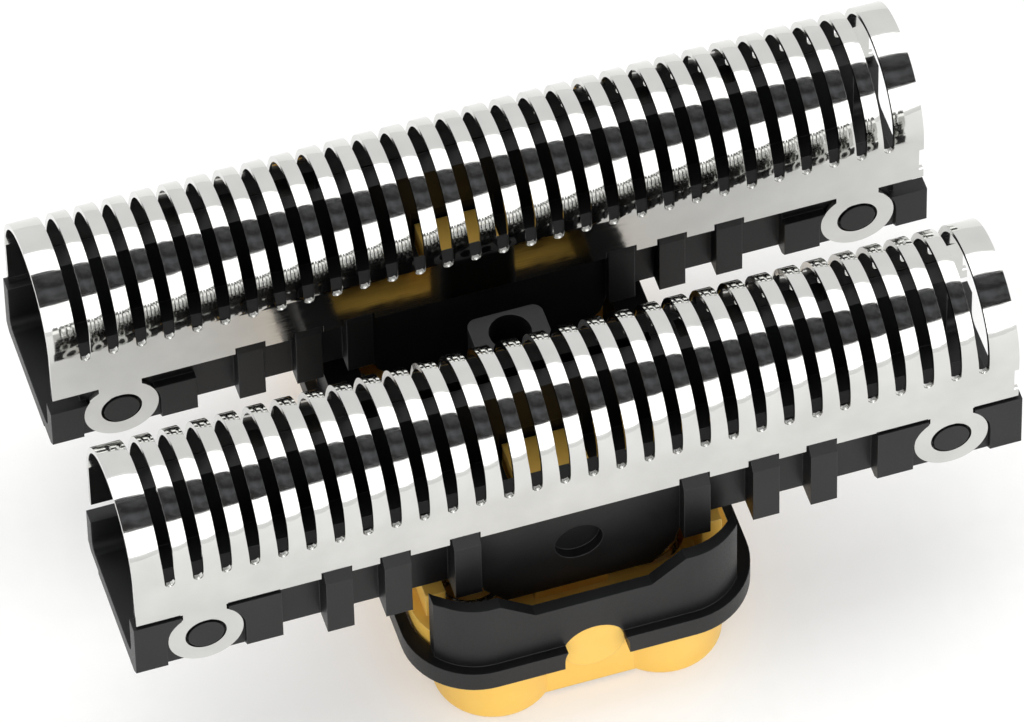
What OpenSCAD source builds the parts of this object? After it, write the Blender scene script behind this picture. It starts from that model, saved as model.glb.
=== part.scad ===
// Cutter block of a foil shaver: two arched, slotted cutter blades on black
// holders, each row floating on two coil springs over an amber carrier that
// a black retainer closes. Millimetres, +Z up, the carrier stands on z = 0,
// the rows run along X and lie side by side along Y.

/* [Blades] */
// Length of each blade strip
blade_len = 37.85; // [31:0.05:46]
// Width of each blade over its two skirts
blade_w = 6.8; // [5.6:0.1:8.2]
// Thickness of the blade steel
blade_t = 0.25; // [0.15:0.05:0.4]
// Number of slots in each blade
slot_count = 30; // [20:1:32]
// Width of each slot
slot_w = 0.55; // [0.4:0.05:0.7]
// Width of each slot at its rounded lower tip
slot_tip_w = 0.44; // [0.3:0.02:0.54]
// Height over which a slot narrows to its tip
slot_taper_h = 1.7; // [0.8:0.1:2.4]
// Plain band left at each end of the strip
end_band = 1.25; // [0.8:0.05:2]
// Height of the plain skirt below the slot tips
skirt_h = 2.14; // [1.6:0.02:3]
// Straight part of the slots below the centre of the arch
slot_straight_h = 0.27; // [0:0.01:0.6]

/* [Blade ears] */
// Distance of each ear from the end of the strip
ear_inset = 2.9; // [2.4:0.1:4]
// Outer radius of an ear
ear_r = 1.6; // [1.3:0.05:2]
// Radius of the hole in an ear
ear_hole_r = 0.88; // [0.6:0.02:1.1]
// Width of the neck between the skirt and an ear
ear_neck_w = 1.85; // [1.2:0.05:2.4]
// Distance of the ear's centre below the edge of the skirt
ear_drop = 1.62; // [1.5:0.02:2.2]

/* [Rows] */
// Distance between the two rows, centre to centre
row_pitch = 12.16; // [10.2:0.02:14.6]
// Height of the holders' underside above the foot of the carrier
holder_z = 7.3; // [7.2:0.1:9]
// Height of each holder from its underside to the edge of the skirt
holder_h = 3.26; // [2.9:0.02:4]
// How far a row can be pressed down
float_travel = 1; // [0.6:0.1:1.2]

/* [Holders] */
// Overhang of a holder past each end of the blade
holder_overhang = 0.14; // [0.1:0.02:0.4]
// Thickness of the holder's long walls
wall_t = 0.6; // [0.4:0.05:0.8]
// Thickness of the holder's floor
floor_t = 0.8; // [0.6:0.05:1]
// How far the long walls stand back from the blade's outer faces
web_recess = 0.73; // [0.5:0.01:0.9]
// How high the long walls reach up behind the skirt
tongue_h = 1.6; // [1:0.1:2]
// How much higher the inner long wall ends than the outer one
inner_rise = 0.2; // [0:0.05:0.4]
// Thickness of the long walls past the ears
end_wall_t = 0.65; // [0.4:0.05:0.8]
// Width of a rib
rib_w = 1.14; // [0.9:0.02:1.3]
// How far the outer ribs stand proud of the skirt
rib_proud = 0.32; // [0.1:0.02:0.5]
// Places of the outer ribs from the middle
outer_ribs = [4.92, 7.9, 10.4];
// Places of the inner ribs from the middle
inner_ribs = [5.7, 7.9, 10.4];
// Height of the pads on the ribs that the skirt is notched round
pad_h = 0.32; // [0.2:0.02:0.5]
// Length of the block on the inner side of each ear
block_len = 1.55; // [1.2:0.05:2.2]
// How much higher the blocks end than the long wall they stand on
block_rise = 0.3; // [0:0.05:0.6]
// How far the blocks stand proud of the skirt
block_proud = 0.1; // [0:0.02:0.2]
// Radius of the heat-staked pegs in the ears
peg_r = 0.76; // [0.5:0.02:0.82]
// How far the outer guide plate hangs below the holder
plate_drop = 1.9; // [1.7:0.05:2.1]
// Thickness of the guide plates
plate_t = 0.68; // [0.5:0.02:0.8]
// Radius of the round recess in the outer guide plate
recess_r = 1.03; // [0.8:0.01:1.2]
// Depth of the round recess
recess_depth = 0.45; // [0.3:0.01:0.5]

/* [Springs] */
// Distance of each spring from the middle of its row
spring_x = 3.7; // [3.4:0.05:3.9]
// Mean radius of a spring's coils
spring_r = 1.4; // [1.1:0.05:1.45]
// Thickness of the spring wire
wire_d = 0.3; // [0.2:0.02:0.36]
// Number of turns of a spring
spring_turns = 5; // [3:0.5:6]

/* [Carrier] */
// Radius of the two rounded feet along the carrier's underside
lobe_r = 2.57; // [2.2:0.01:2.8]
// Distance of each foot from the middle
lobe_x = 3.65; // [3.2:0.05:4.2]
// How far the round ends of the feet stay behind the flange's edge
lobe_setback = 0.4; // [0.2:0.02:0.8]
// How far the waist between the feet stays behind their round ends
waist_setback = 0.7; // [0.4:0.02:1.2]
// Height of the feet below the retainer
foot_h = 2.95; // [2.6:0.05:3.2]
// Radius of the rounded lower edges
foot_edge_r = 0.35; // [0.2:0.05:0.6]
// Radius of the bore for the drive pin
drive_r = 0.9; // [0.7:0.05:1]
// Depth of the slanted lead-in at the foot of the bore
drive_lead = 0.5; // [0.2:0.1:0.8]
// Length of the guide towers along the rows
tower_x = 3.2; // [2.4:0.1:3.2]

/* [Retainer] */
// Length of the retainer's flange along the rows
flange_x = 15; // [14.6:0.1:17]
// Room between the outer ribs of a row and the retainer's wall
wall_room = 0.83; // [0.6:0.01:1.2]
// Corner radius of the flange
flange_corner_r = 3.2; // [2.8:0.1:3.8]
// Height of the flange
flange_h = 1.05; // [0.8:0.05:1.3]
// How far the wall stands back from the flange's edge
flange_lip = 0.42; // [0.3:0.02:0.5]
// Thickness of the wall
ring_t = 0.55; // [0.45:0.05:0.6]
// Height of the raised ends of the wall above the flange
wall_h = 3.75; // [3.3:0.05:4]
// Depth of the recess in the middle of the wall
wall_dip = 1.15; // [0.6:0.05:1.4]
// Half of the low stretch in the middle of the wall
dip_x = 2.5; // [1.5:0.1:3]
// Radius of the arched notch for the carrier's snap nose
notch_r = 1.4; // [1.1:0.02:1.6]
// Height of the notch's straight sides below its arch
notch_leg = 0.43; // [0.2:0.01:0.6]
// Half the length of the drive boss along the rows
boss_x = 1.63; // [1.3:0.01:2]
// Half the width of the drive boss across the rows
boss_y = 1.1; // [1.1:0.02:1.6]
// Corner radius of the drive boss
boss_r = 0.45; // [0.2:0.05:0.8]
// Height of the drive boss above the foot of the carrier
boss_top = 10.9; // [9.5:0.1:11.4]

/* [Clearances] */
// Gap between pieces that are seated in each other
seat_gap = 0.02; // [0.01:0.01:0.05]
// Running gap round the parts that slide
run_gap = 0.1; // [0.08:0.01:0.12]
// Gap round the ears and round the snap noses
ear_gap = 0.08; // [0.05:0.01:0.12]
// Gap left under a row that is pressed right down
bottom_gap = 0.2; // [0.15:0.05:0.25]

/* [Hidden] */
$fn = 64;

steel = "#D8D8D6";
black = "#3A3A3B";
amber = "#F6BE5C";
wire = "#C9C9C7";
over = 0.01;

// Heights, from the foot of the carrier upwards
ring_z = foot_h + seat_gap;
lip_z = ring_z + flange_h;
notch_z = ring_z + notch_leg;
carrier_floor_z = ring_z + 0.35;
shoulder_z = lip_z + 0.75;
stop_z = holder_z - float_travel - bottom_gap;
plate_z = holder_z - plate_drop;
hook_h = 0.45;
catch_z = plate_z + hook_h + seat_gap;
tower_top = holder_z + 1.25;
floor_z = holder_z + floor_t;
skirt_z = holder_z + holder_h;
ear_z = skirt_z - ear_drop;
tongue_z = skirt_z + tongue_h;
tip_z = skirt_z + skirt_h;
arch_z = tip_z + slot_straight_h;
cup_depth = 1.8;
spring_base = carrier_floor_z - cup_depth;

// Blade
blade_r = blade_w / 2;
bore_r = blade_r - blade_t;
slot_pitch = (blade_len - 2 * end_band - slot_w) / (slot_count - 1);
tip_r = slot_tip_w / 2;
ear_x = blade_len / 2 - ear_inset;
notch_side = 0.08;
notch_top = 0.06;
end_notch = [0.2, 0.5, 1.3];

// Holder, across the row
seat_y = bore_r - seat_gap;
web_y = blade_r - web_recess;
trough_y = web_y - wall_t;
block_y = blade_r + block_proud;
rib_y = blade_r + rib_proud;
pocket_y = block_y - end_wall_t;
pocket_r = 0.5;
plate_y = blade_r - 0.28 - plate_t;
inner_plate_t = plate_t - 0.2;
plate_slant_h = 1.1;
plate_slant = [0.25, 1.2];

// Holder, along the row
half_len = blade_len / 2 + holder_overhang;
ear_room = ear_r + ear_gap;
seat_in = ear_x - ear_room - block_len;
seat_out = ear_x + ear_room;
outer_plate_x = outer_ribs[0] - rib_w / 2;
inner_plate_x = inner_ribs[0] - rib_w / 2;
outer_edge_gap = 0.08;
inner_edge_gap = 0.75;
hook_reach = 0.35;
hook_x = tower_x - 0.6;
tower_room = tower_x / 2 + 2 * run_gap;

// Carrier and retainer, in plan
row_y = row_pitch / 2;
inner_x = flange_x / 2 - 0.5;
inner_y = row_y + rib_y + wall_room;
flange_y = 2 * (inner_y + ring_t + flange_lip);
lobe_reach = flange_y / 2 - lobe_setback;
waist_reach = lobe_reach - waist_setback;
inner_corner_r = flange_corner_r - 0.5;
body_x = inner_x - run_gap;
body_y = inner_y - run_gap;
wall_end_x = flange_x / 2 - 0.95;
wall_corner = [0.4, 0.15];
cheek_in = body_x - 1.35;
side_wall_out = body_x - 0.5;
side_wall_reach = row_y + 2.4;
cheek_reach = 5;
tower_y = plate_y - run_gap;
neck_y = tower_y - hook_reach;
cup_r = spring_r + wire_d / 2 + 0.2;
stud_r = spring_r - wire_d / 2 - run_gap;
deck_y = row_y - plate_y - inner_plate_t - 2.5 * run_gap;

// Extrudes an outline drawn in Y and Z along X, centred at x
module x_prism(x, length) {
    translate([x, 0, 0]) rotate([90, 0, 90]) linear_extrude(length, center = true) children();
}

// Extrudes an outline drawn in X and Z along Y, centred at y
module y_prism(y, length) {
    translate([0, y, 0]) rotate([90, 0, 0]) linear_extrude(length, center = true) children();
}

// A box given by its lowest corner and its highest corner
module span(low, high) {
    translate(low) cube(high - low);
}

// A rectangle with round corners, centred
module round_rect(x, y, r) {
    square([2 * x, 2 * (y - r)], center = true);
    square([2 * (x - r), 2 * y], center = true);
    for (sx = [-1, 1], sy = [-1, 1])
        translate([sx * (x - r), sy * (y - r)]) circle(r = r);
}

// The same shape on the front side, or on the rear side where side is 1
module on_side(side) {
    mirror([0, side > 0 ? 1 : 0, 0]) children();
}

// The space under an arch of this radius, down to a given height
module arch_outline(r, low) {
    translate([-r, low]) square([2 * r, arch_z - low]);
    intersection() {
        translate([0, arch_z]) circle(r = r);
        translate([-r, arch_z]) square([2 * r, r]);
    }
}

// One slot seen from the side, its tip at the origin
module slot_outline() {
    top = blade_r + slot_straight_h + 1;
    translate([0, tip_r]) circle(r = tip_r);
    polygon([
        [-tip_r, tip_r], [tip_r, tip_r],
        [slot_w / 2, slot_taper_h], [slot_w / 2, top],
        [-slot_w / 2, top], [-slot_w / 2, slot_taper_h]
    ]);
}

// One ear with its neck, centred on its hole
module ear_outline() {
    difference() {
        union() {
            circle(r = ear_r);
            translate([-ear_neck_w / 2, 0]) square([ear_neck_w, ear_drop + blade_t]);
        }
        circle(r = ear_hole_r);
    }
}

// Blade: a strip bent to an arch, slotted across and pierced at its ears
module blade() {
    color(steel) {
        difference() {
            x_prism(0, blade_len) difference() {
                arch_outline(blade_r, skirt_z);
                arch_outline(bore_r, skirt_z - 1);
            }
            for (i = [0 : slot_count - 1])
                translate([(i - (slot_count - 1) / 2) * slot_pitch, 0, tip_z])
                    y_prism(0, blade_w + 1) slot_outline();
            for (sx = [-1, 1]) {
                for (x = outer_ribs)
                    skirt_notch(sx * x, -1);
                for (x = inner_ribs)
                    skirt_notch(sx * x, 1);
            }
            span([blade_len / 2 - end_notch[0], -blade_w, skirt_z + end_notch[1]],
                 [blade_len / 2 + 1, blade_w, skirt_z + end_notch[1] + end_notch[2]]);
        }
        for (sx = [-1, 1], sy = [-1, 1])
            translate([sx * ear_x, 0, ear_z])
                y_prism(sy * (blade_r - blade_t / 2), blade_t) ear_outline();
    }
}

// Notch in the lower edge of one skirt, round a rib's pad
module skirt_notch(x, side) {
    translate([x, side * blade_r, skirt_z])
        cube([rib_w + 2 * notch_side, 4 * blade_t, 2 * (pad_h + notch_top)], center = true);
}

// One rib on a long wall, with its tongue behind the skirt and its pad
module rib(x, reach, rise) {
    x_prism(x, rib_w) polygon([
        [-trough_y, holder_z + rise], [-reach, holder_z + rise],
        [-reach, skirt_z - notch_top], [-blade_r + blade_t / 5, skirt_z + pad_h],
        [-seat_y, skirt_z + pad_h], [-seat_y, tongue_z], [-trough_y, tongue_z]
    ]);
}

// Guide plate that hangs from a long wall, with a hook at its foot
module guide_plate(half, thickness) {
    span([-half, -plate_y - thickness, holder_z], [half, -plate_y, tongue_z]);
    y_prism(-plate_y - thickness / 2, thickness) polygon([
        [-half, holder_z + over], [half, holder_z + over],
        [half - plate_slant[0], plate_z + plate_slant_h], [half - plate_slant[1], plate_z],
        [-half + plate_slant[1], plate_z], [-half + plate_slant[0], plate_z + plate_slant_h]
    ]);
    x_prism(0, hook_x) polygon([
        [-plate_y - thickness / 2, plate_z], [-plate_y, plate_z],
        [-plate_y + hook_reach, plate_z + hook_h / 2], [-plate_y + hook_reach, plate_z + hook_h],
        [-plate_y - thickness / 2, plate_z + hook_h]
    ]);
}

// Room for an ear and its neck in the block beside it
module ear_room_outline() {
    neck_room = ear_neck_w / 2 + ear_gap;
    translate([0, ear_z]) {
        circle(r = ear_room);
        translate([-neck_room, 0]) square([2 * neck_room, ear_drop + tongue_h]);
        translate([-ear_room, -2 * ear_room]) square([2 * ear_room, 2 * ear_room]);
    }
}

// Seat of an ear: a block with a recess round the ear, and the heat-staked peg
module ear_seat(sx, rise, edge_gap) {
    x_prism(sx * (seat_in + seat_out) / 2, seat_out - seat_in) polygon([
        [-trough_y, holder_z + rise], [-seat_y, holder_z + rise],
        [-seat_y, tongue_z], [-trough_y, tongue_z]
    ]);
    difference() {
        x_prism(sx * (seat_in + half_len) / 2, half_len - seat_in) polygon([
            [-trough_y, holder_z + rise], [-seat_y, holder_z + rise],
            [-block_y, holder_z + rise + block_rise],
            [-block_y, skirt_z - edge_gap], [-trough_y, skirt_z - edge_gap]
        ]);
        translate([sx * ear_x, 0, 0]) y_prism(-seat_y - 1, 2) ear_room_outline();
    }
    translate([sx * ear_x, 0, ear_z])
        y_prism(-seat_y - (blade_t + 0.06) / 2, blade_t + 0.06 + over) circle(r = peg_r);
}

// One long side of a holder, on the -Y side: wall, ribs, ear seats and guide plate
module holder_side(ribs, reach, plate_half, thickness, rise, edge_gap) {
    span([-seat_in - over, -web_y, holder_z + rise], [seat_in + over, -trough_y, tongue_z]);
    for (sx = [-1, 1]) {
        for (x = ribs)
            rib(sx * x, reach, rise);
        ear_seat(sx, rise, edge_gap);
    }
    guide_plate(plate_half, thickness);
}

// Open end of the trough past an ear, between thin walls
module end_pocket(sx) {
    x_prism(sx * (seat_out + half_len) / 2, half_len - seat_out + 2 * over) {
        translate([-pocket_y, floor_z + pocket_r]) square([2 * pocket_y, 2 * holder_h]);
        translate([-pocket_y + pocket_r, floor_z]) square([2 * (pocket_y - pocket_r), holder_h]);
        for (sy = [-1, 1])
            translate([sy * (pocket_y - pocket_r), floor_z + pocket_r]) circle(r = pocket_r);
    }
}

// Holder: a trough moulded in one, outer side towards -Y
module holder() {
    color(black) difference() {
        union() {
            span([-half_len, -trough_y - over, holder_z], [half_len, trough_y + over, floor_z]);
            holder_side(outer_ribs, rib_y, outer_plate_x, plate_t, 0, outer_edge_gap);
            on_side(1)
                holder_side(inner_ribs, blade_r, inner_plate_x, inner_plate_t, inner_rise, inner_edge_gap);
            for (sx = [-1, 1])
                translate([sx * spring_x, 0, holder_z - 0.7]) cylinder(r = stud_r, h = 0.7 + over);
        }
        span([-tower_room, -plate_y, holder_z - over],
             [tower_room, plate_y, tower_top + float_travel + run_gap]);
        translate([0, 0, holder_z + 0.85])
            y_prism(-plate_y - plate_t, 2 * recess_depth) circle(r = recess_r);
        for (sx = [-1, 1])
            end_pocket(sx);
    }
}

// Coil spring as a wire swept along a helix with closed end turns
function helix_point(t, height) =
    let (a = 360 * spring_turns * t, rise = height - wire_d,
         ease = t < 0.1 ? 0.35 * t : t > 0.9 ? 1 - 0.35 * (1 - t) : 0.035 + (t - 0.1) * 1.1625)
    [spring_r * cos(a), spring_r * sin(a), wire_d / 2 + rise * ease];

module spring(height) {
    rings = 72;
    sides = 8;
    path = [for (i = [0 : rings]) helix_point(i / rings, height)];
    points = [
        for (i = [0 : rings]) let (a = 360 * spring_turns * i / rings)
            for (k = [0 : sides - 1]) let (b = 360 * k / sides)
                path[i] + wire_d / 2 * [cos(b) * cos(a), cos(b) * sin(a), sin(b)]
    ];
    faces = concat(
        [[for (k = [0 : sides - 1]) k]],
        [for (i = [0 : rings - 1]) for (k = [0 : sides - 1])
            [i * sides + k, (i + 1) * sides + k,
             (i + 1) * sides + (k + 1) % sides, i * sides + (k + 1) % sides]],
        [[for (k = [0 : sides - 1]) rings * sides + sides - 1 - k]]
    );
    color(wire) polyhedron(points, faces);
}

module seated_spring(sx, sy) {
    translate([sx * spring_x, sy * row_y, spring_base + seat_gap])
        spring(holder_z - spring_base - 2 * seat_gap);
}

// Section of a foot, half of it, with a round lower edge
module foot_half() {
    translate([0, foot_edge_r]) square([lobe_r, foot_h - foot_edge_r]);
    square([lobe_r - foot_edge_r, foot_edge_r]);
    intersection() {
        translate([lobe_r - foot_edge_r, foot_edge_r]) circle(r = foot_edge_r);
        square([lobe_r, foot_edge_r]);
    }
}

// One long foot with round ends, along Y
module foot() {
    run = lobe_reach - lobe_r;
    y_prism(0, 2 * run) {
        foot_half();
        mirror([1, 0]) foot_half();
    }
    for (sy = [-1, 1])
        translate([0, sy * run, 0]) rotate_extrude() foot_half();
}

// Guide tower of a row: its ledges catch the hooks of the guide plates
module tower() {
    span([-tower_x / 2, -tower_y, catch_z], [tower_x / 2, tower_y, tower_top]);
    span([-tower_x / 2, -neck_y, carrier_floor_z - over], [tower_x / 2, neck_y, catch_z + over]);
}

// Snap nose that sits in the front notch of the retainer
module snap_nose() {
    nose_r = notch_r - ear_gap;
    y_prism(-body_y, 2 * (flange_lip + run_gap)) {
        translate([0, notch_z]) circle(r = nose_r);
        translate([-nose_r, ring_z]) square([2 * nose_r, notch_leg]);
    }
}

// Upright side wall beside the front row at its right end, on a wider shoulder
module side_wall() {
    intersection() {
        linear_extrude(shoulder_z) round_rect(body_x, body_y, inner_corner_r);
        span([cheek_in, -body_y, carrier_floor_z - over],
             [body_x, -cheek_reach - run_gap, shoulder_z]);
    }
    span([cheek_in, -side_wall_reach, shoulder_z - over],
         [side_wall_out, -cheek_reach - run_gap, stop_z]);
}

// Carrier: feet, body inside the retainer, side walls, towers and spring cups
module carrier() {
    color(amber) difference() {
        union() {
            for (sx = [-1, 1])
                translate([sx * lobe_x, 0, 0]) foot();
            span([-lobe_x, -waist_reach, 0.15], [lobe_x, waist_reach, foot_h]);
            translate([0, 0, foot_h - over]) linear_extrude(carrier_floor_z - foot_h + over)
                round_rect(body_x, body_y, inner_corner_r);
            for (side = [-1, 1]) {
                on_side(side) {
                    snap_nose();
                    side_wall();
                    mirror([1, 0, 0]) side_wall();
                }
                translate([0, side * row_y, 0]) tower();
            }
        }
        for (sx = [-1, 1], sy = [-1, 1])
            translate([sx * spring_x, sy * row_y, spring_base])
                cylinder(r = cup_r, h = cup_depth + 1);
        translate([0, 0, -1]) cylinder(r = drive_r, h = holder_z);
        rotate_extrude() polygon([
            [0, -over], [drive_r + drive_lead, -over], [drive_r, drive_lead], [0, drive_lead]
        ]);
    }
}

// Front view of the retainer's wall: raised ends and a shallow middle
module wall_outline() {
    top = lip_z + wall_h;
    low = top - wall_dip;
    slope_x = dip_x + 1.5;
    polygon([
        [-wall_end_x, lip_z - over], [wall_end_x, lip_z - over],
        [wall_end_x, top - wall_corner[1]], [wall_end_x - wall_corner[0], top],
        [slope_x, top], [dip_x, low],
        [-dip_x, low], [-slope_x, top],
        [-wall_end_x + wall_corner[0], top], [-wall_end_x, top - wall_corner[1]]
    ]);
}

// Flange with its upright front and rear walls, open in the middle
module retainer_ring() {
    difference() {
        union() {
            translate([0, 0, ring_z]) linear_extrude(flange_h)
                round_rect(flange_x / 2, flange_y / 2, flange_corner_r);
            intersection() {
                linear_extrude(lip_z + wall_h)
                    round_rect(flange_x / 2 - flange_lip, flange_y / 2 - flange_lip,
                               flange_corner_r - flange_lip);
                y_prism(0, flange_y) wall_outline();
            }
        }
        translate([0, 0, ring_z - 1]) linear_extrude(flange_h + wall_h + 2)
            round_rect(inner_x, inner_y, inner_corner_r);
        y_prism(0, flange_y + 1) {
            translate([0, notch_z]) circle(r = notch_r);
            translate([-notch_r, ring_z - 1]) square([2 * notch_r, notch_leg + 1]);
        }
    }
}

// Deck between the rows with its two cheeks and the bored drive boss
module retainer_deck() {
    deck_z = carrier_floor_z + seat_gap;
    difference() {
        union() {
            span([-inner_x - over, -deck_y, deck_z], [inner_x + over, deck_y, lip_z]);
            for (sx = [-1, 1])
                translate([sx * (cheek_in + inner_x + over) / 2, 0, (deck_z + stop_z) / 2])
                    cube([inner_x + over - cheek_in, 2 * cheek_reach, stop_z - deck_z], center = true);
            translate([0, 0, deck_z]) linear_extrude(boss_top - deck_z)
                round_rect(boss_x, boss_y, boss_r);
        }
        translate([0, 0, ring_z]) cylinder(r = drive_r, h = boss_top);
    }
}

module retainer() {
    color(black) {
        retainer_ring();
        retainer_deck();
    }
}

translate([0, -row_y, 0]) blade();  // front_blade
translate([0, row_y, 0]) on_side(1) blade();  // rear_blade
translate([0, -row_y, 0]) holder();  // front_holder
translate([0, row_y, 0]) on_side(1) holder();  // rear_holder
carrier();
retainer();
seated_spring(-1, -1);  // spring_front_left
seated_spring(1, -1);  // spring_front_right
seated_spring(-1, 1);  // spring_rear_left
seated_spring(1, 1);  // spring_rear_right
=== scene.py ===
"""Looks of the shaver cutter block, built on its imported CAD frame.

The two slotted blades and the four coil springs are modelled here with
Blender's own mesh tools, at the sizes of the CAD source. The moulded holders,
the carrier and the retainer keep their CAD shape and get worked materials.
"""

import logging
import math
from collections.abc import Callable, Sequence
from dataclasses import dataclass, field
from enum import Enum
from typing import Any

import bmesh
import bpy
from mathutils import Matrix, Vector


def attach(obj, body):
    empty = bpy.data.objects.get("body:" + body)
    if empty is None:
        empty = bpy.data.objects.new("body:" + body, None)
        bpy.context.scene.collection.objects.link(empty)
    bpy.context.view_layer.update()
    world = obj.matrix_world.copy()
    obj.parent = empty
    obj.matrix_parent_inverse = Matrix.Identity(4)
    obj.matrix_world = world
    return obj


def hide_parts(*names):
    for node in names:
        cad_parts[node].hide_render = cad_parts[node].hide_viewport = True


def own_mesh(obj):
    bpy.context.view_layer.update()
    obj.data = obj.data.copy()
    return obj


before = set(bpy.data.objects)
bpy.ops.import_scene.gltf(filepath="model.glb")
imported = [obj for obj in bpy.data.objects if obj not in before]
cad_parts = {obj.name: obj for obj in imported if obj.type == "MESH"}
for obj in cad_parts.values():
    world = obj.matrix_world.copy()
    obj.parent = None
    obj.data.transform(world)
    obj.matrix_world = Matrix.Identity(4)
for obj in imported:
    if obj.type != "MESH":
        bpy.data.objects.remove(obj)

log = logging.getLogger("cutter_block")

MM = 0.001
SAME_PLACE = 1e-7
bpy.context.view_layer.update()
IMAGE_WIDTH = 1024

Point = tuple[float, float, float]


# Colours and nodes


def srgb(code: str) -> tuple[float, float, float, float]:
    """Turns an sRGB hex colour into a linear one.

    Args:
        code: The colour as #RRGGBB.

    Returns:
        Linear red, green, blue and an alpha of 1.
    """
    parts = [int(code[i:i + 2], 16) / 255 for i in (1, 3, 5)]
    red, green, blue = (
        p / 12.92 if p <= 0.04045 else ((p + 0.055) / 1.055) ** 2.4 for p in parts
    )
    return red, green, blue, 1.0


def add_node(
    tree: bpy.types.NodeTree,
    kind: str,
    inputs: dict[str | int, Any] | None = None,
    **settings: Any,
) -> bpy.types.Node:
    """Adds one node with its settings and its links.

    Args:
        tree: The node tree that gets the node.
        kind: Blender's class name of the node.
        inputs: Values or output sockets for its inputs, by name or number.
        **settings: Plain properties of the node.

    Returns:
        The new node.
    """
    node = tree.nodes.new(kind)
    for name, value in settings.items():
        setattr(node, name, value)
    for key, value in (inputs or {}).items():
        if isinstance(value, bpy.types.NodeSocket):
            tree.links.new(value, node.inputs[key])
        else:
            node.inputs[key].default_value = value
    return node


def add_ramp(
    tree: bpy.types.NodeTree,
    factor: bpy.types.NodeSocket,
    stops: Sequence[tuple[float, str]],
) -> bpy.types.NodeSocket:
    """Adds a colour ramp.

    Args:
        tree: The node tree that gets the ramp.
        factor: The socket that drives it.
        stops: Places from 0 to 1 with their sRGB hex colours.

    Returns:
        The ramp's colour output.
    """
    node = add_node(tree, "ShaderNodeValToRGB", {"Fac": factor})
    points = node.color_ramp.elements
    while len(points) < len(stops):
        points.new(0.5)
    for point, (place, code) in zip(points, stops):
        point.position = place
        point.color = srgb(code)
    return node.outputs["Color"]


def shown_rays(tree: bpy.types.NodeTree) -> bpy.types.NodeSocket:
    """Marks the rays by which the camera sees a surface, straight or in metal or glass.

    Args:
        tree: The node tree that gets the nodes.

    Returns:
        An output that is 1 for camera, glossy and transmission rays and 0 for all others.
    """
    path = add_node(tree, "ShaderNodeLightPath")
    shown = path.outputs["Is Camera Ray"]
    for kind in ("Is Glossy Ray", "Is Transmission Ray"):
        either = add_node(
            tree, "ShaderNodeMath", {0: shown, 1: path.outputs[kind]}, operation="MAXIMUM",
        )
        shown = either.outputs["Value"]
    return shown


# Mesh tools


class Shaping(Enum):
    """What a tool does to the piece that it meets."""

    CUT = "DIFFERENCE"
    JOIN = "UNION"


def pick_nothing() -> None:
    """Leaves edit mode and deselects every object."""
    if bpy.context.object and bpy.context.object.mode != "OBJECT":
        bpy.ops.object.mode_set(mode="OBJECT")
    bpy.ops.object.select_all(action="DESELECT")


def pick(obj: bpy.types.Object, *others: bpy.types.Object) -> None:
    """Selects objects and makes the first one active.

    Args:
        obj: The object that becomes active.
        *others: Objects that are selected with it.
    """
    pick_nothing()
    for each in (obj, *others):
        each.select_set(True)
    bpy.context.view_layer.objects.active = obj


def new_from_primitive(name: str) -> bpy.types.Object:
    """Names the primitive that was just added.

    Args:
        name: The name of the piece.

    Returns:
        The new object, active and selected.
    """
    obj = bpy.context.object
    obj.name = name
    obj.data.name = name
    return obj


def settle(obj: bpy.types.Object) -> bpy.types.Object:
    """Puts an object's place into its mesh, so that it sits at the origin.

    Args:
        obj: The object, which may be moved, turned or scaled.

    Returns:
        The same object.
    """
    pick(obj)
    bpy.ops.object.transform_apply(location=True, rotation=True, scale=True)
    return obj


def pick_parts(
    obj: bpy.types.Object,
    kind: str,
    test: Callable[[Any], bool],
) -> int:
    """Enters edit mode with only the chosen faces, edges or vertices selected.

    Args:
        obj: The mesh object.
        kind: FACE, EDGE or VERT.
        test: Says of a bmesh element whether it is chosen.

    Returns:
        How many elements were chosen.
    """
    pick(obj)
    bpy.ops.object.mode_set(mode="EDIT")
    bpy.ops.mesh.select_mode(type=kind)
    bpy.ops.mesh.select_all(action="DESELECT")
    mesh = bmesh.from_edit_mesh(obj.data)
    chosen = [e for e in {"FACE": mesh.faces, "EDGE": mesh.edges, "VERT": mesh.verts}[kind] if test(e)]
    for element in chosen:
        element.select_set(True)
    mesh.select_flush_mode()
    bmesh.update_edit_mesh(obj.data)
    return len(chosen)


def apply_modifier(obj: bpy.types.Object, kind: str, **settings: Any) -> None:
    """Adds a modifier with its settings and applies it.

    Args:
        obj: The object that is changed.
        kind: Blender's type name of the modifier.
        **settings: Properties of the modifier.
    """
    modifier = obj.modifiers.new(kind.lower(), kind)
    for name, value in settings.items():
        setattr(modifier, name, value)
    pick(obj)
    bpy.ops.object.modifier_apply(modifier=modifier.name)


def shape_with(obj: bpy.types.Object, tool: bpy.types.Object, shaping: Shaping) -> None:
    """Cuts a tool out of an object, or joins it on, and removes the tool.

    Args:
        obj: The object that is changed.
        tool: The closed mesh that cuts or joins.
        shaping: Whether the tool cuts or joins.
    """
    apply_modifier(obj, "BOOLEAN", object=tool, operation=shaping.value, solver="EXACT")
    bpy.data.objects.remove(tool)


def copy_piece(obj: bpy.types.Object, name: str, matrix: Matrix) -> bpy.types.Object:
    """Copies a piece with a mesh of its own, moved by a matrix.

    Args:
        obj: The piece that is copied.
        name: The name of the copy.
        matrix: Where the copy goes.

    Returns:
        The copy, settled at the origin.
    """
    copy = obj.copy()
    copy.data = obj.data.copy()
    copy.name = copy.data.name = name
    bpy.context.scene.collection.objects.link(copy)
    copy.matrix_world = matrix
    bpy.context.view_layer.update()
    settle(copy)
    if matrix.is_negative:
        pick_parts(copy, "FACE", lambda f: True)
        bpy.ops.mesh.normals_make_consistent(inside=False)
        pick_nothing()
    return copy


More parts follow.
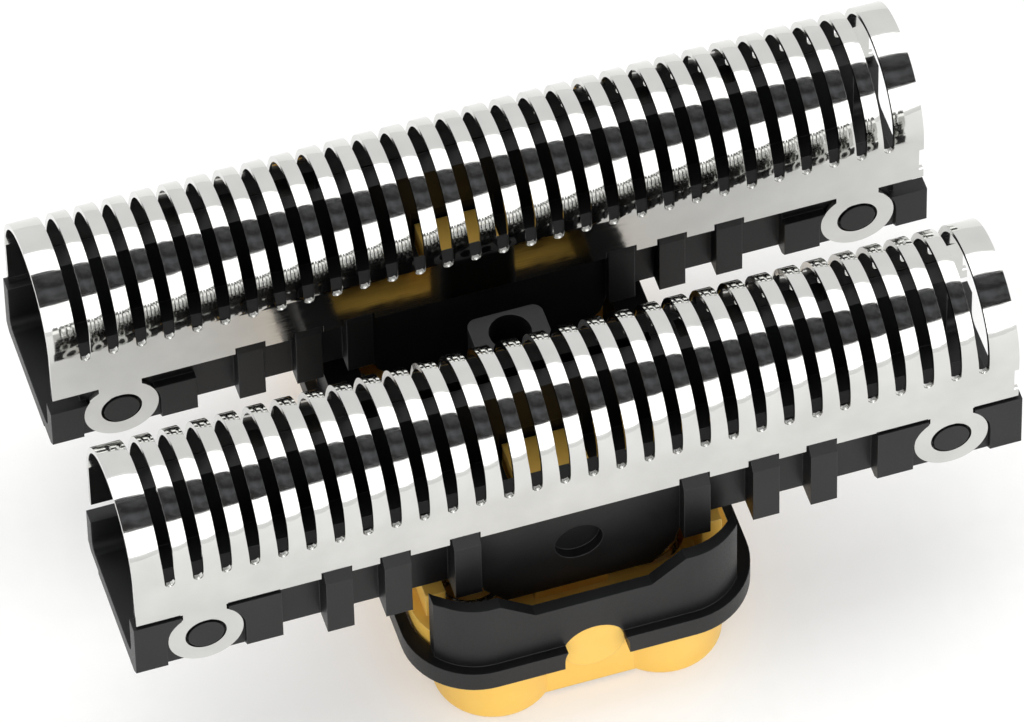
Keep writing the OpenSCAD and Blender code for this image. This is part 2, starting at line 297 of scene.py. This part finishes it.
def add_block(name: str, low: Point, high: Point) -> bpy.types.Object:
    """Adds a rectangular cutter or tool between two corners.

    Args:
        name: The name of the tool.
        low: Its lowest corner, in millimetres.
        high: Its highest corner, in millimetres.

    Returns:
        The new object.
    """
    pick_nothing()
    centre = [(a + b) / 2 * MM for a, b in zip(low, high)]
    size = [(b - a) * MM for a, b in zip(low, high)]
    bpy.ops.mesh.primitive_cube_add(size=1, location=centre, scale=size)
    return settle(new_from_primitive(name))


def add_disc(name: str, centre: Point, radius: float, depth: float, sides: int) -> bpy.types.Object:
    """Adds a round tool that lies across the row.

    Args:
        name: The name of the tool.
        centre: Its middle, in millimetres.
        radius: Its radius, in millimetres.
        depth: Its length along Y, in millimetres.
        sides: How many sides draw its round.

    Returns:
        The new object.
    """
    pick_nothing()
    bpy.ops.mesh.primitive_cylinder_add(
        vertices=sides, radius=radius * MM, depth=depth * MM,
        location=[c * MM for c in centre], rotation=(math.pi / 2, 0, 0),
    )
    return settle(new_from_primitive(name))


# Rows


class Side(Enum):
    """The two rows of the block."""

    FRONT = -1
    REAR = 1

    @property
    def word(self) -> str:
        """The row's word in the names of its nodes."""
        return "front" if self is Side.FRONT else "rear"


# Finishes


@dataclass(frozen=True)
class GroundStainless:
    """Martensitic stainless strip, ground round its arch and then lapped.

    The eye sees a bright, nearly mirror-like metal with hard-edged
    reflections. Their borders waver a little, and fine lapping lines run
    along the row.
    """

    name: str = "lapped_stainless_steel"
    tint: str = "#D3D3D0"
    wane: str = "#CBCBC8"
    roughness: float = 0.08
    wave_mm: float = 1.7
    lap_line_mm: float = 0.05

    def build(self) -> bpy.types.Material:
        """Makes the material.

        Returns:
            The node material.
        """
        material = bpy.data.materials.new(self.name)
        material.use_nodes = True
        tree = material.node_tree
        shader = tree.nodes["Principled BSDF"]
        shader.inputs["Metallic"].default_value = 1.0
        place = add_node(tree, "ShaderNodeTexCoord").outputs["Object"]
        wave = add_node(
            tree, "ShaderNodeTexNoise",
            {"Vector": place, "Scale": 1 / (self.wave_mm * MM), "Detail": 2.0, "Roughness": 0.5},
        )
        stretched = add_node(
            tree, "ShaderNodeMapping", {"Vector": place, "Scale": (0.02, 1.0, 1.0)},
        )
        lines = add_node(
            tree, "ShaderNodeTexNoise",
            {"Vector": stretched.outputs["Vector"], "Scale": 1 / (self.lap_line_mm * MM), "Detail": 3.0},
        )
        tone = add_ramp(tree, wave.outputs["Fac"], [(0.3, self.wane), (0.7, self.tint)])
        tree.links.new(tone, shader.inputs["Base Color"])
        gloss = add_node(
            tree, "ShaderNodeMapRange",
            {"Value": lines.outputs["Fac"], "From Min": 0.3, "From Max": 0.7,
             "To Min": self.roughness - 0.03, "To Max": self.roughness + 0.05},
        )
        tree.links.new(gloss.outputs["Result"], shader.inputs["Roughness"])
        ripple = add_node(
            tree, "ShaderNodeBump",
            {"Height": wave.outputs["Fac"], "Strength": 0.35, "Distance": 0.03 * MM},
        )
        lap = add_node(
            tree, "ShaderNodeBump",
            {"Height": lines.outputs["Fac"], "Strength": 0.08, "Distance": 0.004 * MM,
             "Normal": ripple.outputs["Normal"]},
        )
        tree.links.new(lap.outputs["Normal"], shader.inputs["Normal"])
        return material


@dataclass(frozen=True)
class MouldedAcetal:
    """Acetal, moulded in a spark-eroded tool.

    The eye sees a satin skin: even colour with faint flow streaks, a very
    fine grain, and edges that catch the light where the tool rounded them;
    along these edges a lighter colour is painted in as a painted highlight.
    """

    name: str
    body: str
    streak: str
    # Colour of the painted highlight that is mixed in along the edges.
    edge: str
    roughness: float = 0.42
    grain_mm: float = 0.07
    edge_radius_mm: float = 0.06
    sheen: float = 0.5
    glow: float = 0.0

    def build(self) -> bpy.types.Material:
        """Makes the material.

        Returns:
            The node material.
        """
        material = bpy.data.materials.new(self.name)
        material.use_nodes = True
        tree = material.node_tree
        shader = tree.nodes["Principled BSDF"]
        shader.inputs["IOR"].default_value = 1.48
        shader.inputs["Specular IOR Level"].default_value = self.sheen
        if self.glow:
            shader.inputs["Subsurface Weight"].default_value = self.glow
            shader.inputs["Subsurface Radius"].default_value = (1.0, 0.55, 0.2)
            shader.inputs["Subsurface Scale"].default_value = 0.6 * MM
        place = add_node(tree, "ShaderNodeTexCoord").outputs["Object"]
        flow = add_node(
            tree, "ShaderNodeTexNoise",
            {"Vector": place, "Scale": 1 / (3.2 * MM), "Detail": 3.0, "Distortion": 0.6},
        )
        grain = add_node(
            tree, "ShaderNodeTexNoise",
            {"Vector": place, "Scale": 1 / (self.grain_mm * MM), "Detail": 2.0},
        )
        colour = add_ramp(tree, flow.outputs["Fac"], [(0.35, self.body), (0.72, self.streak)])
        rounded = add_node(tree, "ShaderNodeBevel", {"Radius": self.edge_radius_mm * MM}, samples=6)
        flat = add_node(tree, "ShaderNodeNewGeometry")
        likeness = add_node(
            tree, "ShaderNodeVectorMath",
            {0: rounded.outputs["Normal"], 1: flat.outputs["Normal"]}, operation="DOT_PRODUCT",
        )
        # Painted highlight: where the bevel normal turns away from the flat normal, the edge colour is mixed over
        # the body colour.
        painted_edge_highlight = add_node(
            tree, "ShaderNodeMapRange",
            {"Value": likeness.outputs["Value"], "From Min": 0.995, "From Max": 0.8,
             "To Min": 0.0, "To Max": 1.0},
        )
        toned = add_node(
            tree, "ShaderNodeMix",
            {0: painted_edge_highlight.outputs["Result"], 6: colour, 7: srgb(self.edge)}, data_type="RGBA",
        )
        tree.links.new(toned.outputs[2], shader.inputs["Base Color"])
        skin = add_node(
            tree, "ShaderNodeMapRange",
            {"Value": grain.outputs["Fac"], "From Min": 0.3, "From Max": 0.7,
             "To Min": self.roughness - 0.05, "To Max": self.roughness + 0.07},
        )
        tree.links.new(skin.outputs["Result"], shader.inputs["Roughness"])
        bump = add_node(
            tree, "ShaderNodeBump",
            {"Height": grain.outputs["Fac"], "Strength": 0.12, "Distance": 0.01 * MM,
             "Normal": rounded.outputs["Normal"]},
        )
        tree.links.new(bump.outputs["Normal"], shader.inputs["Normal"])
        return material


@dataclass(frozen=True)
class DrawnWire:
    """Spring wire, drawn through a die and wound cold.

    The eye sees a bright grey thread with a narrow highlight.
    """

    name: str = "drawn_spring_wire"
    tint: str = "#C9C8C4"
    roughness: float = 0.24
    scratch_mm: float = 0.09

    def build(self) -> bpy.types.Material:
        """Makes the material.

        Returns:
            The node material.
        """
        material = bpy.data.materials.new(self.name)
        material.use_nodes = True
        tree = material.node_tree
        shader = tree.nodes["Principled BSDF"]
        shader.inputs["Metallic"].default_value = 1.0
        place = add_node(tree, "ShaderNodeTexCoord").outputs["Object"]
        marks = add_node(
            tree, "ShaderNodeTexNoise",
            {"Vector": place, "Scale": 1 / (self.scratch_mm * MM), "Detail": 3.0},
        )
        tone = add_ramp(tree, marks.outputs["Fac"], [(0.3, "#A9A8A4"), (0.65, self.tint)])
        tree.links.new(tone, shader.inputs["Base Color"])
        gloss = add_node(
            tree, "ShaderNodeMapRange",
            {"Value": marks.outputs["Fac"], "To Min": self.roughness - 0.06,
             "To Max": self.roughness + 0.1},
        )
        tree.links.new(gloss.outputs["Result"], shader.inputs["Roughness"])
        return material


# Sub-assemblies


@dataclass
class SlottedBlade:
    """One cutter blade: a strip bent to an arch, slotted across, with four ears."""

    side: Side
    length: float = 37.85
    width: float = 6.8
    steel: float = 0.25
    skirt_z: float = 10.56
    tip_z: float = 12.7
    arch_z: float = 12.97
    row_y: float = 6.08
    slots: int = 30
    pitch: float = 1.2
    slot_w: float = 0.55
    tip_w: float = 0.44
    taper_h: float = 1.7
    ear_x: float = 16.025
    ear_z: float = 8.94
    ear_r: float = 1.6
    ear_hole_r: float = 0.88
    neck_w: float = 1.85
    notch_w: float = 1.3
    notch_h: float = 0.38
    outer_ribs: tuple[float, ...] = (4.92, 7.9, 10.4)
    inner_ribs: tuple[float, ...] = (5.7, 7.9, 10.4)
    end_notch: Point = (0.2, 0.5, 1.3)
    edge: float = 0.035
    arch_sides: int = 128
    tip_sides: int = 24
    ear_sides: int = 64
    hole_sides: int = 48
    notch_reach: float = 0.5
    smooth_angle: float = 32
    bevel_angle: float = 40

    def build(self) -> bpy.types.Object:
        """Models the blade on the front row's side of the block.

        Returns:
            The finished mesh object.
        """
        blade = self._arch()
        shape_with(blade, self._ears(), Shaping.JOIN)
        shape_with(blade, self._slot_cutters(), Shaping.CUT)
        shape_with(blade, self._notch_cutters(), Shaping.CUT)
        self._break_edges(blade)
        turn = Matrix.Scale(-1, 4, (0, 1, 0)) if self.side is Side.REAR else Matrix.Identity(4)
        place = Matrix.Translation((0, self.side.value * self.row_y * MM, 0))
        piece = copy_piece(blade, f"{self.side.word}_slotted_blade", place @ turn)
        bpy.data.objects.remove(blade)
        pick(piece)
        bpy.ops.object.shade_smooth_by_angle(angle=math.radians(self.smooth_angle))
        apply_modifier(piece, "WEIGHTED_NORMAL", keep_sharp=True, mode="FACE_AREA")
        return piece

    def _arch(self) -> bpy.types.Object:
        """Makes the arched strip from half a tube with its two skirts.

        Returns:
            The closed shell of the strip.
        """
        pick_nothing()
        bpy.ops.mesh.primitive_cylinder_add(
            vertices=self.arch_sides, radius=self.width / 2 * MM, depth=self.length * MM,
            location=(0, 0, self.arch_z * MM), rotation=(0, math.pi / 2, 0), end_fill_type="NOTHING",
        )
        arch = settle(new_from_primitive("arched_strip"))
        low = self.arch_z * MM
        pick_parts(arch, "FACE", lambda f: f.calc_center_median().z < low)
        bpy.ops.mesh.delete(type="FACE")
        pick_parts(arch, "EDGE", lambda e: all(abs(v.co.z - low) < 1e-6 for v in e.verts))
        bpy.ops.mesh.extrude_region_move(
            TRANSFORM_OT_translate={"value": (0, 0, (self.skirt_z - self.arch_z) * MM)}
        )
        pick_parts(arch, "FACE", lambda f: True)
        bpy.ops.mesh.normals_make_consistent(inside=False)
        pick_nothing()
        mesh = arch.data
        top = max(mesh.polygons, key=lambda p: p.center.z)
        if top.normal.z < 0:
            mesh.flip_normals()
        apply_modifier(arch, "SOLIDIFY", thickness=self.steel * MM, offset=-1.0, use_even_offset=True)
        return arch

    def _slot_cutters(self) -> bpy.types.Object:
        """Makes one long cutter for a slot and repeats it along the strip.

        Returns:
            All the cutters as one mesh.
        """
        pick_nothing()
        tip_r = self.tip_w / 2
        first = -(self.slots - 1) / 2 * self.pitch
        centre = (self.tip_z + tip_r) * MM
        bpy.ops.mesh.primitive_circle_add(
            vertices=self.tip_sides, radius=tip_r * MM, fill_type="NGON",
            location=(first * MM, -self.width * MM, centre), rotation=(math.pi / 2, 0, 0),
        )
        cutter = settle(new_from_primitive("slot_cutters"))
        pick_parts(cutter, "FACE", lambda f: True)
        bpy.ops.mesh.bisect(plane_co=(0, 0, centre), plane_no=(0, 0, 1), threshold=SAME_PLACE, clear_outer=True)
        pick_parts(cutter, "EDGE", lambda e: all(abs(v.co.z - centre) < SAME_PLACE for v in e.verts))
        if not len([e for e in bmesh.from_edit_mesh(cutter.data).edges if e.select]):
            raise RuntimeError("the slot cutter has no upper edge")
        bpy.ops.mesh.extrude_region_move(
            TRANSFORM_OT_translate={"value": (0, 0, (self.taper_h - tip_r) * MM)}
        )
        bpy.ops.transform.resize(value=(self.slot_w / self.tip_w, 1, 1), center_override=(first * MM, 0, 0))
        bpy.ops.mesh.extrude_region_move(
            TRANSFORM_OT_translate={"value": (0, 0, (self.width / 2 + 1) * MM)}
        )
        pick_parts(cutter, "FACE", lambda f: True)
        bpy.ops.mesh.extrude_region_move(
            TRANSFORM_OT_translate={"value": (0, 2 * self.width * MM, 0)}
        )
        pick_parts(cutter, "FACE", lambda f: True)
        bpy.ops.mesh.normals_make_consistent(inside=False)
        pick_nothing()
        apply_modifier(
            cutter, "ARRAY", count=self.slots, use_relative_offset=False,
            use_constant_offset=True, constant_offset_displace=(self.pitch * MM, 0, 0),
        )
        return cutter

    def _ears(self) -> bpy.types.Object:
        """Makes the four pierced ears with their necks.

        Returns:
            The ears as one mesh.
        """
        skin_y = (self.width - self.steel) / 2
        ears = []
        for across in (-1, 1):
            for along in (-1, 1):
                centre = (along * self.ear_x, across * skin_y, self.ear_z)
                ear = add_disc("ear", centre, self.ear_r, self.steel, self.ear_sides)
                neck = add_block(
                    "neck",
                    (centre[0] - self.neck_w / 2, centre[1] - self.steel / 2, self.ear_z + self.ear_hole_r),
                    (centre[0] + self.neck_w / 2, centre[1] + self.steel / 2, self.skirt_z + self.steel),
                )
                shape_with(ear, neck, Shaping.JOIN)
                hole = add_disc("hole", centre, self.ear_hole_r, 4 * self.steel, self.hole_sides)
                shape_with(ear, hole, Shaping.CUT)
                ears.append(ear)
        pick(*ears)
        bpy.ops.object.join()
        return ears[0]

    def _notch_cutters(self) -> bpy.types.Object:
        """Makes the cutters of the notches in the skirts and at the strip's right end.

        Returns:
            All the cutters as one mesh.
        """
        notches = []
        for across, ribs in ((-1, self.outer_ribs), (1, self.inner_ribs)):
            for x in (s * r for r in ribs for s in (-1, 1)):
                notches.append(add_block(
                    "notch",
                    (x - self.notch_w / 2, across * self.width / 2 - self.notch_reach, self.skirt_z - self.notch_h),
                    (x + self.notch_w / 2, across * self.width / 2 + self.notch_reach, self.skirt_z + self.notch_h),
                ))
        depth, rise, height = self.end_notch
        notches.append(add_block(
            "end_notch",
            (self.length / 2 - depth, -self.width, self.skirt_z + rise),
            (self.length / 2 + 1, self.width, self.skirt_z + rise + height),
        ))
        pick(*notches)
        bpy.ops.object.join()
        return notches[0]

    def _break_edges(self, blade: bpy.types.Object) -> None:
        """Rounds the sharp edges as tumbling does.

        Args:
            blade: The cut strip.
        """
        pick_parts(blade, "VERT", lambda v: True)
        bpy.ops.mesh.remove_doubles(threshold=0.002 * MM)
        pick_nothing()
        apply_modifier(
            blade, "BEVEL", width=self.edge * MM, segments=2, limit_method="ANGLE",
            angle_limit=math.radians(self.bevel_angle), use_clamp_overlap=True, harden_normals=False,
        )


@dataclass
class CoilSpring:
    """One coil spring with closed end turns, standing in its cup."""

    side: Side
    hand: int
    spring_x: float = 3.7
    row_y: float = 6.08
    coil_r: float = 1.4
    wire_d: float = 0.3
    base_z: float = 1.54
    height: float = 5.74
    closed_turns: float = 0.75
    open_turns: float = 3.5
    closed_slack: float = 1.05
    wire_sides: int = 14
    turn_steps: int = 26

    def build(self) -> bpy.types.Object:
        """Winds the spring in three stretches and joins them.

        Returns:
            The finished mesh object.
        """
        closed_rise = self.wire_d * self.closed_turns * self.closed_slack
        open_rise = self.height - self.wire_d - 2 * closed_rise
        start = self.base_z + self.wire_d / 2
        turned = 0.0
        lengths = []
        for turns, rise in (
            (self.closed_turns, closed_rise), (self.open_turns, open_rise), (self.closed_turns, closed_rise),
        ):
            lengths.append(self._stretch(turned, start, turns, rise))
            turned += turns
            start += rise
        pick(*lengths)
        bpy.ops.object.join()
        spring = lengths[0]
        pick_parts(spring, "VERT", lambda v: True)
        bpy.ops.mesh.remove_doubles(threshold=0.01 * MM)
        pick_parts(spring, "EDGE", lambda e: e.is_boundary)
        bpy.ops.mesh.edge_face_add()
        pick_parts(spring, "FACE", lambda f: True)
        bpy.ops.mesh.normals_make_consistent(inside=False)
        pick_nothing()
        hand = "left" if self.hand < 0 else "right"
        spring.name = spring.data.name = f"{self.side.word}_{hand}_coil_spring"
        pick(spring)
        bpy.ops.object.shade_smooth()
        return spring

    def _stretch(self, turned: float, z: float, turns: float, rise: float) -> bpy.types.Object:
        """Sweeps the wire's round section through some turns.

        Args:
            turned: Turns wound before this stretch.
            z: Height of the wire's centre where it starts, in millimetres.
            turns: Turns of this stretch.
            rise: How far it rises, in millimetres.

        Returns:
            The open tube of this stretch.
        """
        pick_nothing()
        angle = 2 * math.pi * turned
        steps = round(self.turn_steps * turns)
        bpy.ops.mesh.primitive_circle_add(
            vertices=self.wire_sides, radius=self.wire_d / 2 * MM, location=(self.coil_r * MM, 0, 0),
            rotation=(math.pi / 2, 0, 0),
        )
        wire = settle(new_from_primitive("wire"))
        apply_modifier(
            wire, "SCREW", angle=2 * math.pi * turns, screw_offset=rise * MM,
            steps=steps, render_steps=steps, use_merge_vertices=False,
        )
        wire.matrix_world = (
            Matrix.Translation((self.hand * self.spring_x * MM, self.side.value * self.row_y * MM, z * MM))
            @ Matrix.Rotation(angle, 4, "Z")
        )
        return settle(wire)


# Studio


@dataclass
class Studio:
    """Camera, floor and soft light, set up as the photograph was taken."""

    camera_place: Point = (-86.461, -293.413, 406.085)
    right: Point = (0.953331, -0.301534, -0.015379)
    up: Point = (0.247073, 0.749846, 0.613747)
    back: Point = (-0.173534, -0.588904, 0.789353)
    lens: float = 425.448
    shift: tuple[float, float] = (2.472 / IMAGE_WIDTH, -57.486 / IMAGE_WIDTH)
    floor_size: float = 6.0
    floor_lift: float = 0.3
    panel_distance: float = 0.9
    panel_length: float = 2.4
    softbox_level: float = 1.5
    world_level: float = 0.72
    front_band: tuple[float, float] = (7.7, 42.7)
    dark_band: tuple[float, float] = (42.7, 90.7)
    back_band: tuple[float, float] = (90.7, 123.7)

    def build(self) -> None:
        """Makes the camera, the floor, the world and the lamps."""
        self._camera()
        self._floor()
        self._world()
        self._lamps()

    def _camera(self) -> None:
        """Places the camera at the photograph's viewing angle."""
        data = bpy.data.cameras.new("camera")
        data.lens = self.lens
        data.sensor_width = 36
        data.shift_x, data.shift_y = self.shift
        data.clip_start, data.clip_end = 0.01, 20
        camera = bpy.data.objects.new("camera", data)
        axes = Matrix((self.right, self.up, self.back)).transposed().to_4x4()
        camera.matrix_world = Matrix.Translation([c * MM for c in self.camera_place]) @ axes
        bpy.context.scene.collection.objects.link(camera)
        bpy.context.scene.camera = camera

    def _floor(self) -> None:
        """Lays the pale paper floor, lifted to white wherever it is seen."""
        pick_nothing()
        bpy.ops.mesh.primitive_plane_add(size=self.floor_size, location=(0, 0, 0))
        floor = new_from_primitive("studio_floor")
        material = bpy.data.materials.new("pale_studio_paper")
        material.use_nodes = True
        tree = material.node_tree
        shader = tree.nodes["Principled BSDF"]
        shader.inputs["Roughness"].default_value = 0.9
        shader.inputs["Specular IOR Level"].default_value = 0.1
        place = add_node(tree, "ShaderNodeTexCoord").outputs["Object"]
        fibres = add_node(
            tree, "ShaderNodeTexNoise", {"Vector": place, "Scale": 1 / (0.8 * MM), "Detail": 4.0}
        )
        paper = add_ramp(tree, fibres.outputs["Fac"], [(0.3, "#D9D9D8"), (0.7, "#DDDDDC")])
        tree.links.new(paper, shader.inputs["Base Color"])
        lift = add_node(
            tree, "ShaderNodeMath", {0: shown_rays(tree), 1: self.floor_lift}, operation="MULTIPLY",
        )
        shader.inputs["Emission Color"].default_value = (1, 1, 1, 1)
        tree.links.new(lift.outputs["Value"], shader.inputs["Emission Strength"])
        floor.data.materials.append(material)

    def _world(self) -> None:
        """Lights the surroundings like a white studio."""
        world = bpy.data.worlds.new("white_studio")
        world.use_nodes = True
        bpy.context.scene.world = world
        tree = world.node_tree
        background = tree.nodes["Background"]
        background.inputs["Color"].default_value = (1, 1, 1, 1)
        level = add_node(
            tree, "ShaderNodeMapRange", {"Value": shown_rays(tree), "To Min": self.world_level},
        )
        tree.links.new(level.outputs["Result"], background.inputs["Strength"])

    def _lamps(self) -> None:
        """Hangs two long softboxes, with a dark flag between them that only reflections show."""
        self._softbox("front_softbox", self.front_band)
        self._softbox("back_softbox", self.back_band)
        self._flag("dark_flag", self.dark_band)

    def _panel(self, band: tuple[float, float]) -> tuple[Vector, float]:
        """Works out where a panel hangs that spans a band of the sky.

        Args:
            band: Angles of its two long edges above the floor in front, in degrees.

        Returns:
            The panel's centre and its height, in metres.
        """
        middle = math.radians(sum(band) / 2)
        half = math.radians(band[1] - band[0]) / 2
        place = Vector((0, -math.cos(middle), math.sin(middle))) * self.panel_distance
        return place, 2 * self.panel_distance * math.tan(half)

    def _softbox(self, name: str, band: tuple[float, float]) -> None:
        """Hangs one rectangular softbox that faces the object.

        Args:
            name: The lamp's name.
            band: The band of the sky that it spans, in degrees.
        """
        place, height = self._panel(band)
        data = bpy.data.lights.new(name, "AREA")
        data.shape = "RECTANGLE"
        data.size, data.size_y = self.panel_length, height
        data.energy = self.softbox_level * math.pi * self.panel_length * height
        lamp = bpy.data.objects.new(name, data)
        lamp.location = place
        lamp.rotation_mode = "QUATERNION"
        lamp.rotation_quaternion = place.to_track_quat("Z", "Y")
        bpy.context.scene.collection.objects.link(lamp)

    def _flag(self, name: str, band: tuple[float, float]) -> None:
        """Hangs a dark cloth that stands for the unlit room behind the camera.

        Args:
            name: The flag's name.
            band: The band of the sky that it spans, in degrees.
        """
        place, height = self._panel(band)
        pick_nothing()
        bpy.ops.mesh.primitive_plane_add(size=1, location=place)
        flag = new_from_primitive(name)
        flag.scale = (self.panel_length, height, 1)
        flag.rotation_mode = "QUATERNION"
        flag.rotation_quaternion = place.to_track_quat("Z", "Y")
        material = bpy.data.materials.new("dark_room_cloth")
        material.use_nodes = True
        tree = material.node_tree
        shader = tree.nodes["Principled BSDF"]
        shader.inputs["Base Color"].default_value = srgb("#0A0A0A")
        shader.inputs["Roughness"].default_value = 1.0
        folds = add_node(
            tree, "ShaderNodeTexNoise",
            {"Vector": add_node(tree, "ShaderNodeTexCoord").outputs["Object"], "Scale": 3.6, "Detail": 2.5},
        )
        glow = add_ramp(tree, folds.outputs["Fac"], [(0.4, "#211F1F"), (0.7, "#5F6165")])
        tree.links.new(glow, shader.inputs["Emission Color"])
        shader.inputs["Emission Strength"].default_value = 1.0
        flag.data.materials.append(material)
        flag.visible_camera = False
        flag.visible_diffuse = False
        flag.visible_shadow = False
        flag.visible_transmission = False


@dataclass
class CutterBlock:
    """The whole block: it builds its pieces and dresses its CAD nodes."""

    pieces: list[bpy.types.Object] = field(default_factory=list)

    def build(self) -> None:
        """Builds both rows, the springs and the moulded parts' finishes."""
        steel = GroundStainless().build()
        # The last colour of each acetal is its painted edge highlight.
        black = MouldedAcetal(
            "moulded_black_acetal", "#0F0F10", "#161617", "#363637", sheen=0.34,
        ).build()
        amber = MouldedAcetal(
            "moulded_amber_acetal", "#FAC85C", "#FBCD65", "#FDDC8F", roughness=0.38, glow=0.06,
        ).build()
        wire = DrawnWire().build()
        for side in Side:
            blade = SlottedBlade(side).build()
            self._finish(blade, steel, f"{side.word}_cutter", f"{side.word}_blade")
            for hand in (-1, 1):
                spring = CoilSpring(side, hand)
                coil = spring.build()
                word = "left" if hand < 0 else "right"
                self._finish(coil, wire, "base", f"spring_{side.word}_{word}")
                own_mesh(coil)
        for node, material in (
            ("front_holder", black), ("rear_holder", black), ("retainer", black), ("carrier", amber),
        ):
            self._dress(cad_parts[node], material)

    def _finish(
        self, piece: bpy.types.Object, material: bpy.types.Material, body: str, node: str,
    ) -> None:
        """Gives a new piece its material in one slot and its body, and hides the CAD node that it replaces.

        Args:
            piece: The new piece.
            material: Its finish.
            body: The CAD body that it rides on.
            node: The CAD node that it replaces.
        """
        piece.data.materials.clear()
        piece.data.materials.append(material)
        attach(piece, body)
        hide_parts(node)
        self.pieces.append(piece)
        log.info("%s: %d faces, rides on %s", piece.name, len(piece.data.polygons), body)

    def _dress(self, node: bpy.types.Object, material: bpy.types.Material) -> None:
        """Puts a finish into a CAD node's material slots.

        Args:
            node: The CAD node's object.
            material: The finish.
        """
        for slot in node.material_slots:
            slot.link = "OBJECT"
            slot.material = material
        log.info("%s: dressed in %s", node.name, material.name)


def main() -> None:
    """Builds the studio and the cutter block."""
    logging.basicConfig(level=logging.INFO, format="%(message)s")
    bpy.context.scene.view_settings.view_transform = "Standard"
    Studio().build()
    CutterBlock().build()
    pick_nothing()


if __name__ == "__main__":
    main()
